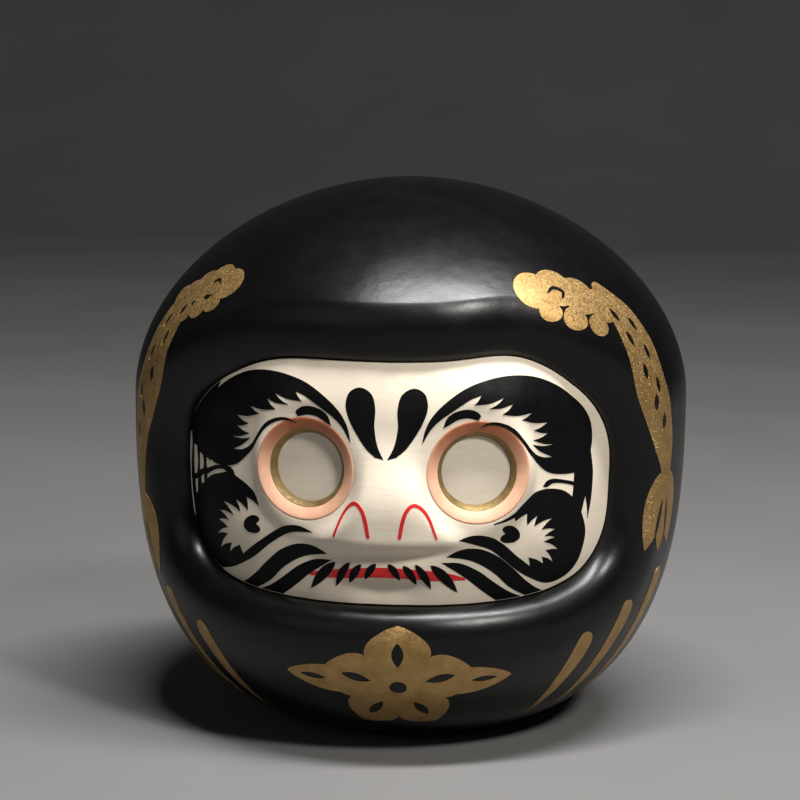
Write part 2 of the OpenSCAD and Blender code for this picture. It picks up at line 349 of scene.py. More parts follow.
def border_edges(tris):
    """Directed edges that belong to one triangle only."""
    pairs = np.concatenate([tris[:, [0, 1]], tris[:, [1, 2]], tris[:, [2, 0]]])
    known = {tuple(p) for p in pairs.tolist()}
    return [(a, b) for a, b in pairs.tolist() if (b, a) not in known]


PAINT_LIFT, PAINT_SINK = 0.07, 0.04


def painted(name, material, slot, surface, adds, cuts=(), step=0.8, lift=PAINT_LIFT, within=None):
    """A thin closed layer of paint that lies on a surface and has these outlines."""
    points, tris = triangulate(adds, cuts, step, within)
    n = len(points)
    top = lifted(surface, points, np.full(n, lift))
    under = lifted(surface, points, np.full(n, -PAINT_SINK))
    rim = border_edges(tris)
    faces = tris.tolist() + (tris[:, ::-1] + n).tolist()
    faces += [(b, a, a + n, b + n) for a, b in rim]
    sharp = rim + [(a + n, b + n) for a, b in rim]
    return part(make_object(name, np.concatenate([top, under]), faces, material, sharp=sharp), slot)


# ---- Outlines in the plane ----


def curve(points, step=0.35, closed=False):
    """Smooth run through the points, ends included, as an even row of points."""
    p = np.array(points, float)
    if closed:
        p = np.concatenate([p[-1:], p, p[:2]])
    elif len(p) > 2:
        p = np.concatenate([2 * p[:1] - p[1:2], p, 2 * p[-1:] - p[-2:-1]])
    else:
        return [tuple(q) for q in p]
    out = []
    for i in range(1, len(p) - 2):
        a, b, c, d = p[i - 1], p[i], p[i + 1], p[i + 2]
        t1 = max(np.linalg.norm(b - a), 1e-6) ** 0.5
        t2 = t1 + max(np.linalg.norm(c - b), 1e-6) ** 0.5
        t3 = t2 + max(np.linalg.norm(d - c), 1e-6) ** 0.5
        count = max(1, int(round(np.linalg.norm(c - b) / step)))
        for k in range(count):
            t = t1 + (t2 - t1) * k / count
            ab = a + (b - a) * t / t1
            bc = b + (c - b) * (t - t1) / (t2 - t1)
            cd = c + (d - c) * (t - t2) / (t3 - t2)
            abc = ab + (bc - ab) * t / t2
            bcd = bc + (cd - bc) * (t - t1) / (t3 - t1)
            out.append(tuple(abc + (bcd - abc) * (t - t1) / (t2 - t1)))
    if not closed:
        out.append(tuple(p[-2]))
    return out


def joined(*runs):
    """One closed loop from runs that meet end to end, with corners where they meet."""
    loop = []
    for run in runs:
        for q in run:
            if not loop or math.dist(q, loop[-1]) > 1e-3:
                loop.append(q)
    if math.dist(loop[0], loop[-1]) < 1e-3:
        loop.pop()
    return np.array(loop)


def stroke(points, widths, step=0.3):
    """Outline of a brush stroke along the points, with a width at each of them and round ends."""
    mid = np.array(curve(points, step))
    along = np.concatenate([[0], np.cumsum(np.hypot(*np.diff(mid, axis=0).T))])
    stops = np.array([np.hypot(*(mid - np.array(q)).T).argmin() for q in points])
    half = np.interp(along, along[stops], np.array(widths, float) / 2)
    tangent = np.gradient(mid, axis=0)
    tangent /= np.hypot(*tangent.T)[:, None]
    side = np.stack([-tangent[:, 1], tangent[:, 0]], axis=1) * half[:, None]

    def cap(centre, direction, radius):
        if radius < 0.08:
            return np.zeros((0, 2))
        start = math.atan2(direction[1], direction[0]) + math.pi / 2
        turns = start - np.linspace(0, math.pi, 9)[1:-1]
        return centre + radius * np.stack([np.cos(turns), np.sin(turns)], axis=1)

    end_cap = cap(mid[-1], tangent[-1], half[-1])
    start_cap = cap(mid[0], -tangent[0], half[0])
    return np.concatenate([mid + side, end_cap, (mid - side)[::-1], start_cap])


def spun(loop, turn):
    """The loop turned about the origin by an angle in degrees."""
    c, s = math.cos(math.radians(turn)), math.sin(math.radians(turn))
    return np.array(loop) @ np.array([[c, s], [-s, c]])


def mirrored(loop):
    return np.array(loop)[::-1] * [-1, 1]


def circle(centre, radius):
    step = 0.3
    t = full_turn(max(12, int(2 * math.pi * radius / step)))
    return np.array(centre) + radius * np.stack([np.cos(t), np.sin(t)], axis=1)


# ---- Materials ----


class Nodes:
    """A material's node tree with a few short-hands. Positions are in object millimetres."""

    def __init__(self, name):
        self.material = bpy.data.materials.new(name)
        self.material.use_nodes = True
        self.tree = self.material.node_tree
        self.shader = self.tree.nodes["Principled BSDF"]
        place = self.node("TexCoord")
        scale = self.node("VectorMath")
        scale.operation = "SCALE"
        scale.inputs["Scale"].default_value = 1 / MM
        self.link(place.outputs["Object"], scale.inputs[0])
        self.place = scale.outputs[0]

    def node(self, kind, **values):
        """A new node, with these values on its sockets."""
        node = self.tree.nodes.new("ShaderNode" + kind)
        for socket, value in values.items():
            node.inputs[socket].default_value = value
        return node

    def link(self, a, b):
        self.tree.links.new(a, b)

    def stretched(self, x, y, z):
        node = self.node("VectorMath")
        node.operation = "MULTIPLY"
        node.inputs[1].default_value = (x, y, z)
        self.link(self.place, node.inputs[0])
        return node.outputs[0]

    def noise(self, scale, detail=4.0, rough=0.6, place=None):
        node = self.node("TexNoise", Scale=scale, Detail=detail, Roughness=rough)
        self.link(place or self.place, node.inputs["Vector"])
        return node.outputs["Fac"]

    def cells(self, scale, output="Distance"):
        node = self.node("TexVoronoi", Scale=scale)
        self.link(self.place, node.inputs["Vector"])
        return node.outputs[output]

    def ramp(self, value, *stops):
        node = self.node("ValToRGB")
        elements = node.color_ramp.elements
        while len(elements) < len(stops):
            elements.new(0.5)
        for element, (place, colour) in zip(elements, stops):
            element.position = place
            element.color = (*colour, 1) if hasattr(colour, "__len__") else (colour, colour, colour, 1)
        self.link(value, node.inputs["Fac"])
        return node.outputs["Color"]

    def between(self, value, low, high):
        """From low to high as a noise goes from its valleys to its peaks."""
        return self.ramp(value, (0.3, low), (0.7, high))

    def mix(self, share, a, b):
        node = self.node("Mix")
        node.data_type = "RGBA"
        for socket, value in ((node.inputs["Factor"], share), (node.inputs["A"], a), (node.inputs["B"], b)):
            if isinstance(value, bpy.types.NodeSocket):
                self.link(value, socket)
            else:
                socket.default_value = (*value, 1) if hasattr(value, "__len__") else value
        return node.outputs["Result"]

    def bump(self, *layers):
        """Bumps on top of each other, each given as (height, distance in mm)."""
        normal = None
        for height, distance in layers:
            node = self.node("Bump", Distance=distance * MM)
            self.link(height, node.inputs["Height"])
            if normal is not None:
                self.link(normal, node.inputs["Normal"])
            normal = node.outputs["Normal"]
        self.link(normal, self.shader.inputs["Normal"])

    def base(self, value):
        self.link(value, self.shader.inputs["Base Color"])

    def rough(self, value):
        self.link(value, self.shader.inputs["Roughness"])


def body_black():
    m = Nodes("body_black")
    worn = m.noise(0.045, 5)
    tone = m.between(worn, (0.0016, 0.0016, 0.0018), (0.0027, 0.0027, 0.0030))
    dust = m.ramp(m.cells(0.62), (0.0, 1.0), (0.022, 0.9), (0.03, 0.0))
    spare = m.ramp(m.noise(0.09, 2, 0.5), (0.56, 0.0), (0.62, 1.0))
    both = m.mix(spare, (0, 0, 0), dust)
    m.base(m.mix(both, tone, (0.16, 0.155, 0.15)))
    m.shader.inputs["Specular IOR Level"].default_value = 0.31
    m.rough(m.between(m.noise(0.16, 6, 0.65), 0.27, 0.36))
    m.bump((m.noise(0.055, 3, 0.5), 0.35), (m.noise(0.9), 0.02), (m.noise(6.0, 2), 0.006))
    return m.material


def face_ivory(name, tone, deep):
    m = Nodes(name)
    brush = m.noise(0.5, 5, 0.65, m.stretched(0.35, 0.35, 2.4))
    wide = m.noise(0.05, 3, 0.5)
    washed = m.ramp(brush, (0.32, deep), (0.68, tone))
    m.base(m.mix(m.ramp(wide, (0.35, 0.0), (0.75, 0.35)), washed, deep))
    m.rough(m.between(m.noise(0.6), 0.5, 0.66))
    m.bump((brush, 0.03), (m.noise(2.4), 0.02), (m.noise(9, 2, 0.5), 0.006))
    return m.material


def peach_paint():
    m = Nodes("peach_paint")
    brush = m.noise(0.5, 5)
    # Painted shade: the ring's upper part, which faces down under the hood, is coloured a deeper
    # brown-orange, blended in from 50 mm to 60 mm up
    height = m.node("SeparateXYZ")
    m.link(m.place, height.inputs[0])
    painted_shade_share = m.node("MapRange")
    painted_shade_share.interpolation_type = "SMOOTHSTEP"
    painted_shade_share.inputs["From Min"].default_value = 50
    painted_shade_share.inputs["From Max"].default_value = 60
    m.link(height.outputs["Z"], painted_shade_share.inputs["Value"])
    light = m.between(brush, (0.74, 0.40, 0.25), (0.81, 0.47, 0.31))
    # deep is the painted shade colour of the ring's upper part
    deep = m.between(brush, (0.36, 0.105, 0.038), (0.44, 0.14, 0.056))
    m.base(m.mix(painted_shade_share.outputs["Result"], light, deep))
    m.rough(m.between(m.noise(1.2), 0.45, 0.62))
    m.bump((m.noise(1.6), 0.03))
    return m.material


def black_paint():
    m = Nodes("black_paint")
    m.base(m.between(m.noise(0.3, 5), (0.0016, 0.0016, 0.0018), (0.0026, 0.0026, 0.0028)))
    m.shader.inputs["Specular IOR Level"].default_value = 0.12
    m.rough(m.between(m.noise(0.5, 5), 0.42, 0.58))
    m.bump((m.noise(0.8, place=m.stretched(0.6, 0.6, 1.4)), 0.03), (m.noise(6, 2, 0.5), 0.005))
    return m.material


def red_paint():
    m = Nodes("red_paint")
    m.base(m.between(m.noise(0.5), (0.56, 0.007, 0.009), (0.72, 0.014, 0.016)))
    m.rough(m.between(m.noise(1.0), 0.38, 0.55))
    m.bump((m.noise(1.6), 0.03))
    return m.material


def gold_paint(name, dark, light, metal, dullness):
    m = Nodes(name)
    flakes = m.cells(3.2, output="Color")
    m.base(m.mix(m.between(m.noise(0.4), 0.0, 1.0), dark, light))
    m.shader.inputs["Metallic"].default_value = metal
    m.rough(m.ramp(flakes, (0.0, dullness), (1.0, dullness + 0.3)))
    m.bump((m.noise(0.7), 0.05), (flakes, 0.035))
    return m.material


def washi_paper():
    m = Nodes("washi_paper")
    fibres = m.noise(0.8, 6, 0.7, m.stretched(0.4, 1.6, 1.0))
    m.base(m.between(fibres, (0.50, 0.45, 0.35), (0.66, 0.61, 0.50)))
    m.rough(m.between(fibres, 0.7, 0.9))
    m.bump((fibres, 0.05), (m.noise(0.12, 3, 0.5), 0.15))
    return m.material


MAT_BODY = body_black()
MAT_FACE = face_ivory("face_ivory", (0.78, 0.69, 0.56), (0.73, 0.63, 0.50))
MAT_EYE = face_ivory("eye_ivory", (0.74, 0.66, 0.54), (0.68, 0.60, 0.48))
MAT_PEACH = peach_paint()
MAT_BLACK = black_paint()
MAT_RED = red_paint()
MAT_GOLD = gold_paint("gold_paint", (0.37, 0.225, 0.08), (0.51, 0.33, 0.135), 0.85, 0.32)
MAT_GOLD_RIM = gold_paint("gold_rim", (0.17, 0.11, 0.035), (0.30, 0.21, 0.08), 0.5, 0.42)
MAT_WASHI = washi_paper()

# ---- Shells ----

SEAM_SPOKES, BASE_SPOKES = 288, 72
BASE_SIDE = math.radians(50)


def spoke_angles():
    seam = -BASE_SIDE + (math.pi + 2 * BASE_SIDE) * np.arange(SEAM_SPOKES) / SEAM_SPOKES
    base = math.pi + BASE_SIDE + (math.pi - 2 * BASE_SIDE) * np.arange(BASE_SPOKES) / BASE_SPOKES
    return np.concatenate([seam, base])


SPOKES = spoke_angles()


def spoke_ends(skin):
    """Points where the spokes end: on the seam with the rear shell, then round the weight."""
    rim_r = float(body_r(BASE_JOINT_Z, skin))
    corner = math.atan2(WIDE_Z - BASE_JOINT_Z, rim_r)
    phi = -corner + (math.pi + 2 * corner) * np.arange(SEAM_SPOKES) / SEAM_SPOKES
    seam = body_point(np.stack([np.cos(phi), 0 * phi, np.sin(phi)], axis=-1), skin)
    seam[0] = (rim_r, 0, BASE_JOINT_Z)
    beta = -math.pi / 2 + math.pi * np.arange(BASE_SPOKES) / BASE_SPOKES
    base = np.stack([rim_r * np.sin(beta), -rim_r * np.cos(beta), BASE_JOINT_Z + 0 * beta], axis=-1)
    return np.concatenate([seam, base])


def spoke_ring(grow, skin, depth):
    p = outline(SPOKES, grow)
    return at_radius(p[:, 0], p[:, 1], body_r(p[:, 1], skin) - depth)


def lip_ring(a, start, width, skin, depth):
    """Ring at angle a across a lip, from the face at the given depth to the body."""
    e = 2 / lip_fullness(np.sin(SPOKES))
    p = outline(SPOKES, width - (width - start) * math.cos(a) ** e)
    return at_radius(p[:, 0], p[:, 1], body_r(p[:, 1], skin) - depth * (1 - math.sin(a) ** e))


def shell_ring(t, grow, skin):
    start = spoke_ring(grow, skin, 0) - [0, 0, WIDE_Z]
    end = spoke_ends(skin)
    if t == 1:
        return end
    toward = end - [0, 0, WIDE_Z]
    unit = [v / np.linalg.norm(v, axis=1)[:, None] for v in (start, toward)]
    return body_point((1 - t) * unit[0] + t * unit[1], skin)


def front_shell():
    lip_steps, outer_steps, inner_steps = 28, 56, 16
    inner_lip_w = LIP_W + LEDGE_W
    quarter = np.minimum(np.linspace(0, math.pi / 2, lip_steps + 1), math.pi / 2 - 1e-9)
    rings = [spoke_ring(-LEDGE_W, 0, SEAT_DEPTH), spoke_ring(-OPENING_TAPER, 0, SEAT_DEPTH)]
    rings += [lip_ring(a, 0, LIP_W, 0, RECESS) for a in quarter]
    rings += [shell_ring(i / outer_steps, LIP_W, 0) for i in range(1, outer_steps + 1)]
    seam_ring = len(rings) - 1
    rings += [shell_ring(i / inner_steps, inner_lip_w, WALL) for i in range(inner_steps, 0, -1)]
    rings += [lip_ring(a, WALL, inner_lip_w, WALL, BACK_DEPTH - WALL) for a in quarter[::-1]]
    rings += [spoke_ring(-LEDGE_W, WALL, BACK_DEPTH - WALL)]
    faces = ring_faces(len(rings), len(SPOKES), cyclic=True)
    sharp = ring_edges((0, 1, seam_ring, seam_ring + 1, len(rings) - 1), len(SPOKES))
    shell = make_object("front_shell_paper", np.concatenate(rings), faces, MAT_BODY, sharp=sharp)
    return part(shell, "body_black", "front_shell")


def rear_shell():
    """Half of a turned shell. Columns run round the back from seam to seam, rows over the profile."""
    rows, columns = 96, 180
    z_out = WIDE_Z - (WIDE_Z - BASE_JOINT_Z) * np.cos(np.linspace(0, math.pi / 2, rows // 2))
    z_up = WIDE_Z + CROWN_H * np.sin(np.linspace(0, math.pi / 2, rows // 2 + 1))[1:]
    outer_z = np.concatenate([z_out, z_up])
    inner_z = np.minimum(outer_z, BODY_H - WALL)
    profile = [(body_r(z), z) for z in outer_z[:-1]] + [(0.0, BODY_H), (0.0, BODY_H - WALL)]
    profile += [(body_r(z, WALL), z) for z in inner_z[-3::-1]]
    turn = np.linspace(0, math.pi, columns + 1)
    verts = np.array([(r * math.cos(a), r * math.sin(a), z) for a in turn for r, z in profile])
    m = len(profile)
    faces = [(c * m + j, c * m + (j + 1) % m, (c + 1) * m + (j + 1) % m, (c + 1) * m + j)[::-1]
             for c in range(columns) for j in range(m) if j != len(outer_z) - 1]
    faces += [tuple(c * m + j for j in range(m))[::(1 if c == 0 else -1)] for c in (0, columns)]
    sharp = ring_edges((0, columns), m)
    sharp += [(c * m + j, (c + 1) * m + j) for c in range(columns) for j in (0, m - 1)]
    shell = make_object("rear_shell_paper", verts, faces, MAT_BODY, sharp=sharp)
    merge_doubles(shell, 1e-7)
    return part(shell, "body_black", "rear_shell")


# ---- Face and eyes ----


EYE_POINTS = 144


def eye_ring(side, radius, depth, count=EYE_POINTS):
    """Ring of a socket, at a radius from its axis and a depth below its rim."""
    off_axis = eye_arc(side) / HALF_W - side * EYE_TURN
    centre = at_radius(eye_arc(side), EYE_Z, EYE_RIM_D / math.cos(off_axis))
    out = np.array([side * math.sin(EYE_TURN), -math.cos(EYE_TURN), 0])
    across, up = np.array([math.cos(EYE_TURN), side * math.sin(EYE_TURN), 0]), np.array([0, 0, 1.0])
    t = full_turn(count)[:, None]
    return centre - depth * out + radius * (np.cos(t) * across + np.sin(t) * up)


# Radius and depth down the inside of a socket, from the pad to the disc
SOCKET_PROFILE = [(BEVEL_R + 0.15, 0.0), (BEVEL_R - 0.2, 0.06), (BEVEL_R - 0.9, 0.4),
                  (SOCKET_R + 0.15, 0.84), (SOCKET_R - 0.05, 1.0), (SOCKET_R - 0.45, 1.55),
                  (DISC_SHOWN_R + 0.05, FLOOR_DEPTH - 0.1), (DISC_SHOWN_R, FLOOR_DEPTH)]


def socket_loop(side, radius, depth):
    """[s, z] of a ring of the socket."""
    ring = eye_ring(side, radius, depth)
    return np.stack([HALF_W * np.arctan2(ring[:, 0], -ring[:, 1]), ring[:, 2]], axis=-1)


OUTLINE_ANGLES = full_turn(420)


def panel_outline(step=0.5):
    loop = outline(OUTLINE_ANGLES, -PANEL_GAP)
    gaps = np.hypot(*(np.roll(loop, -1, axis=0) - loop).T)
    along = np.concatenate([[0], np.cumsum(gaps)])
    closed = np.concatenate([loop, loop[:1]])
    at = np.arange(0, along[-1] - step / 2, step)
    even = np.stack([np.interp(at, along, closed[:, 0]), np.interp(at, along, closed[:, 1])], axis=-1)
    # A trace of unevenness keeps neighbouring points from lying in one line
    trace = 0.003
    return even + trace * (-1.0) ** np.arange(len(even))[:, None]


def nearest(points, loop, first=0):
    """Numbers of the points that lie at the loop's points."""
    return [first + int(np.hypot(*(points - q).T).argmin()) for q in loop]


def face_panel():
    front_step, back_step = 0.62, 1.5
    hole_r, seat_back_depth = BEVEL_R + 0.6, FLOOR_DEPTH + 0.8
    rim = panel_outline()
    front_holes = [socket_loop(side, hole_r, 0) for side in (-1, 1)]
    back_holes = [socket_loop(side, DISC_SEAT_R, seat_back_depth) for side in (-1, 1)]
    front_points, front_tris = triangulate([rim], front_holes, front_step)
    back_points, back_tris = triangulate([rim], back_holes, back_step)
    front = lifted(face_surface, front_points, np.zeros(len(front_points)))
    back = at_radius(back_points[:, 0], back_points[:, 1], body_r(back_points[:, 1]) - SEAT_DEPTH)
    verts = [front, back]
    faces = front_tris.tolist() + (back_tris[:, ::-1] + len(front)).tolist()
    count = len(front) + len(back)
    for side, front_hole, back_hole in zip((-1, 1), front_holes, back_holes):
        rings = [nearest(front_points, front_hole)]
        for radius, depth in SOCKET_PROFILE + [(DISC_SEAT_R, FLOOR_DEPTH)]:
            verts.append(eye_ring(side, radius, depth))
            rings.append(list(range(count, count + EYE_POINTS)))
            count += EYE_POINTS
        rings.append(nearest(back_points, back_hole, len(front)))
        for a, b in zip(rings, rings[1:]):
            faces += [(a[j - 1], a[j], b[j], b[j - 1]) for j in range(EYE_POINTS)]
    front_rim, back_rim = nearest(front_points, rim), nearest(back_points, rim, len(front))
    sides = range(len(rim))
    faces += [(front_rim[j], front_rim[j - 1], back_rim[j - 1], back_rim[j]) for j in sides]
    sharp = [(loop[j], loop[j - 1]) for loop in (front_rim, back_rim) for j in sides]
    panel = make_object("face_panel_painted", np.concatenate(verts), faces, MAT_FACE, sharp=sharp)
    return part(panel, "face_ivory", "face_panel")


def turned_on_eye(name, side, profile, material, slot):
    """A closed ring turned about the socket's axis from a closed profile of (radius, depth)."""
    rings = [eye_ring(side, max(radius, 0.0), depth) for radius, depth in profile]
    faces = [f[::-1] for f in ring_faces(len(rings), EYE_POINTS, cyclic=True)]
    return part(make_object(name, np.concatenate(rings), faces, material), slot)


def layer_profile(profile, lift):
    """Closed profile of a thin layer of paint that lies on a run of (radius, depth) points."""
    sink, end_share = 0.03, 0.2
    p = np.array(profile)
    t = np.gradient(p, axis=0)
    normal = np.stack([t[:, 1], -t[:, 0]], axis=1)
    normal /= np.hypot(*normal.T)[:, None]
    normal *= np.where(normal[:, 1:] > 0, -1, 1)
    taper = np.array([end_share] + [1.0] * (len(p) - 2) + [end_share])[:, None]
    return [tuple(q) for q in np.concatenate([p + normal * lift * taper, (p - normal * sink)[::-1]])]


def eye(side):
    """One blank eye: its peach ring, its gold rim and the disc, which bulges a little."""
    word = "left" if side < 0 else "right"
    peach, rim = layer_profile(SOCKET_PROFILE[:5], 0.05), layer_profile(SOCKET_PROFILE[3:], 0.06)
    turned_on_eye(f"peach_ring_{word}", side, peach, MAT_PEACH, "paint_peach")
    turned_on_eye(f"gold_rim_{word}", side, rim, MAT_GOLD_RIM, "paint_gold")
    rows = 14
    shown = [(DISC_R * i / rows, FLOOR_DEPTH + DISC_BULGE * (i / rows) ** 2 - DISC_BULGE)
             for i in range(1, rows + 1)]
    rings = [eye_ring(side, r, d) for r, d in shown + [(DISC_R, FLOOR_DEPTH + DISC_T)]]
    poles = [eye_ring(side, 0, depth, 1) for depth in (FLOOR_DEPTH - DISC_BULGE, FLOOR_DEPTH + DISC_T)]
    front, back = len(rings) * EYE_POINTS, (len(rings) - 1) * EYE_POINTS
    faces = ring_faces(len(rings), EYE_POINTS)
    for j in range(EYE_POINTS):
        k = (j + 1) % EYE_POINTS
        faces.append((front, j, k))
        faces.append((front + 1, back + k, back + j))
    disc = make_object(f"eye_disc_{word}_painted", np.concatenate(rings + poles), faces, MAT_EYE)
    part(disc, "eye_ivory", f"eye_disc_{word}")


# ---- Face paint: outlines in [s, z] on the viewer's right, mirrored for the left ----

BROW_TIP, BROW_END, BROW_LOW = (7, 56.4), (45, 53), (40.3, 50)
BROW_TOP = [BROW_TIP, (7.6, 58.8), (9, 61.1), (11.8, 63.5), (15.8, 65.7), (20.5, 67), (26, 67.5),
            (31, 67), (35.5, 65.5), (39.5, 63.3), (42.7, 60.9), (44.9, 58.2), (45.5, 55.4), BROW_END]
BROW_TAIL = [BROW_LOW, (38, 50), (34.9, 50.3), (33, 50.9), (30.9, 52.3), (29.5, 53.4)]
LID_UNDER = [(29.5, 53.4), (28.3, 54.4), (26.9, 56), (25, 57.9), (22.8, 59.1), (20.3, 59.5),
             (18.3, 59)]
LID_OVER = [(18.3, 59), (20.3, 59.9), (23, 59.7), (25.3, 58.6), (27.1, 56.8), (28.7, 55.1),
            (30.3, 54)]
LASH_TAIL = [(30.3, 54), (32, 53.4), (34.5, 53.2)]
LASH_BACK = [(34.5, 53.2), (31.5, 54.4), (29.5, 55.7)]
FEATHER = [(29.5, 55.7), (35, 55.4), (29.8, 56.4), (33.2, 57.4), (29.9, 58.1), (33, 59.3), (26.9, 60.1),
           (29.2, 61.2), (22.8, 61.2), (25, 62.9), (20.1, 62.2), (23.2, 64), (17.2, 62.9), (18.6, 64.5)]
BROW_UNDER = [(18.6, 64.5), (16.4, 63.8), (14.9, 63), (12.8, 61.8), (10.6, 60.5), (8.8, 59), BROW_TIP]

# The right-hand beard, with the band that joins it to the brow
BAND_BACK = [(45, 54), (45.8, 50), (45.7, 47), (45.5, 44.7), (44.8, 41.5)]
BAND_NOTCH = [(44.8, 41.5), (44.4, 43.6), (43.7, 45.6), (42.7, 42.9)]
BEARD_BACK = [(42.7, 42.9), (43.9, 40.8), (44.5, 39), (44.2, 36.7), (43.2, 34.2), (41.2, 32.3),
              (38.3, 31.2), (34.8, 31), (30.5, 32.4), (27.2, 34), (24.1, 36.1), (21.2, 37.9),
              (17.8, 39), (14.4, 39.9)]
BEARD_WAVE = [(14.4, 39.9), (16.5, 40.5), (18.8, 40.6), (21.6, 40), (24.2, 38.6), (26.9, 36.6),
              (30.2, 34.5)]
BURST = [(30.2, 34.5), (29.6, 36.1), (33.3, 34.7), (32.7, 36), (35.7, 34.8), (33.4, 37.1), (36.5, 37),
         (32.8, 38.7), (35.4, 39.2), (32.8, 39.7), (35.3, 40.7), (32, 40.9), (34.5, 42.7), (30.3, 41.6),
         (31, 43.4), (28.8, 41.9), (28.7, 43.9), (26, 42.8), (25.7, 43.5)]
UNDER_EYE = [(25.7, 43.5), (23.8, 42.9), (21.5, 42.4)]
BEARD_TOP = [(21.5, 42.6), (23.6, 43.3), (25.5, 44.3), (27.1, 45.7), (29.1, 46.9), (31.8, 47.7),
             (34.9, 47.7), (37.6, 47.1), (39.8, 45.9)]
EYE_GAP = [(39.8, 45.9), (40.1, 48), (40.3, 51)]

# The left-hand beard, as if on the right: it has no band, and reaches back to the panel's rim
WIDE_TOP = [(27.3, 44), (28.2, 45.9), (30.7, 47.5), (33.8, 48.7)]
WIDE_STROKE = [(33.8, 48.7), (34.5, 49.6), (36.5, 50.1), (40, 49.7), (43.6, 48.7)]
WIDE_GAP = [(43.6, 48.7), (43.9, 49.6), (43.7, 50.6), (42, 50.3), (41.5, 51.5)]
WIDE_RIM = [(41.5, 60), (38, 66.2), (60, 66), (60, 28.5), (41, 31.2)]
WIDE_LOW = [(41, 31.2), (36.1, 32.2), (29.6, 34.8), (24.5, 38), (20, 40.1), (14.9, 40.6)]
WIDE_WAVE = [(14.9, 40.6), (18.2, 41.5), (21.7, 41), (27.2, 38.1), (32.4, 35)]
WIDE_BURST = [(32.4, 35), (33, 36.5), (36.5, 34.8), (35.3, 36.6), (39.8, 35.1), (36.2, 38.1),
              (40.2, 37.6), (36, 39.3), (39.2, 40.2), (35.6, 40.7), (38.8, 42), (34.1, 41.8),
              (37.5, 43.8), (32.1, 42.6), (33.5, 44.6), (30.1, 43), (30.6, 45.3), (27.3, 44)]
RIM_SLIVERS = [[(50.2, 54.5), (49.9, 52.4), (50.5, 50.2), (51, 47.1), (50.8, 43.5), (50.3, 40.1),
                (50.8, 38.6), (56, 44), (56, 50), (51.6, 54.4)],
               [(49.2, 52.3), (49.6, 49), (49.6, 46.9), (48.3, 47.2), (47.6, 49.4), (47.8, 52.2)],
               [(49.4, 45.9), (49.1, 43.4), (48.3, 43.9), (48, 46.3)],
               [(46.8, 51.2), (46.9, 49.4), (47.1, 47.9), (45.4, 48.4), (45, 49.2), (45.2, 50.8)],
               [(46.5, 46.9), (46.3, 45.5), (44.9, 46.1), (44.9, 47.5)]]
STROKE_EDGE = [(43.6, 47.6), (40.6, 48.8), (37.6, 49.3), (36.4, 49)]
STROKE_INSIDE = [(36.4, 49), (38.2, 48.6), (40.8, 48), (43.6, 46.9)]


def zigzag(points, bow=0.05):
    """Zigzag whose sides all bow the same way, as curved brushed hairs do."""
    run = []
    for a, b in zip(points, points[1:]):
        a, b = np.array(a), np.array(b)
        bow = -bow
        across = bow * np.array([-(b - a)[1], (b - a)[0]])
        run += curve([tuple(a), tuple((a + b) / 2 + across), tuple(b)], 0.4)[:-1]
    return run + [tuple(points[-1])]


def brow():
    return joined(curve(BROW_TOP), curve([BROW_END, (43.5, 51.2), BROW_LOW]), curve(BROW_TAIL),
                  curve(LID_UNDER), curve(LID_OVER), curve(LASH_TAIL), curve(LASH_BACK), zigzag(FEATHER),
                  curve(BROW_UNDER))


def right_beard():
    return joined(curve(BAND_BACK), curve(BAND_NOTCH[:3]), curve(BAND_NOTCH[2:]), curve(BEARD_BACK),
                  curve(BEARD_WAVE), zigzag(BURST), curve(UNDER_EYE), curve(BEARD_TOP), curve(EYE_GAP))


def left_beard():
    return joined(curve(WIDE_TOP), curve(WIDE_STROKE), curve(WIDE_GAP), WIDE_RIM, curve(WIDE_LOW),
                  curve(WIDE_WAVE), zigzag(WIDE_BURST))


GAP_STROKE = [[(32.3, 48.3), (33.4, 49.2), (35, 49.4), (37.6, 49), (41, 48.3)],
              [(41, 47.6), (36.9, 48.5), (34.6, 48.6), (33.2, 48.1), (32.3, 48.3)]]
CRESCENT = [[(11.1, 59.1), (11.8, 60.7), (13.3, 61.7), (15.6, 62.2), (17.5, 61.9), (18.6, 61),
             (18.1, 60.3)],
            [(18.1, 60.3), (15.9, 60.7), (13.9, 60.4), (12.3, 59.6), (11.1, 59.1)]]
WAVE_2 = [[(12.2, 36.9), (15, 38.1), (18.5, 38.2), (22.5, 36.9), (26.5, 34.3), (30, 31.8), (34, 29.8),
           (38, 29.2)],
          [(34, 28), (30.4, 29.1), (26.1, 31), (22.8, 33.4), (19.8, 35.1), (16.9, 36.2), (12.2, 36.9)]]
WAVE_3 = [[(11.2, 35.9), (15, 35.7), (19, 34.2), (22.5, 32.1), (26.5, 30), (32, 28.2)],
          [(27.3, 27), (23.3, 28.8), (19.8, 30.8), (16.6, 32.9), (13.4, 34.7), (11.2, 35.9)]]
HEART = [[(24.2, 40.6), (23.3, 41.5), (23.8, 42), (25.4, 42), (27, 41), (27.3, 39.8), (26.2, 39)],
         [(26.2, 39), (24.2, 39), (23.2, 39.6), (23.5, 40.3), (24.2, 40.6)]]
LEFT_SPOT_SHIFT = [3.9, 0.2]
TEAR = [(0.35, 53.8), (1.6, 56), (2.3, 59.2), (2.2, 62.2), (3, 64.6), (5.4, 65.7), (7.5, 64.8),
        (8.1, 62.8), (7.4, 60.5), (5.8, 57.9), (3.8, 55.5), (2, 54.2)]
NOSTRIL = [(2.9, 41), (3.4, 43.6), (4.2, 45.6), (5.4, 46.5), (6.8, 45.9), (8.2, 44.2), (9.8, 40.6)]
NOSTRIL_WIDTHS = [0.65, 0.7, 0.65, 0.55, 0.5, 0.5, 0.4]
MOUTH = [[(-16.4, 33.3), (-12, 34.1), (-5, 34.9), (0, 35.1), (5, 34.9), (12, 34.1), (16.4, 33)],
         [(16.4, 32.6), (10, 32.7), (4, 33.2), (0, 33.3), (-4, 33.2), (-10, 32.7), (-16.4, 32.8)]]
MOUTH_S = -0.7
SIDES = (("right", 1), ("left", -1))
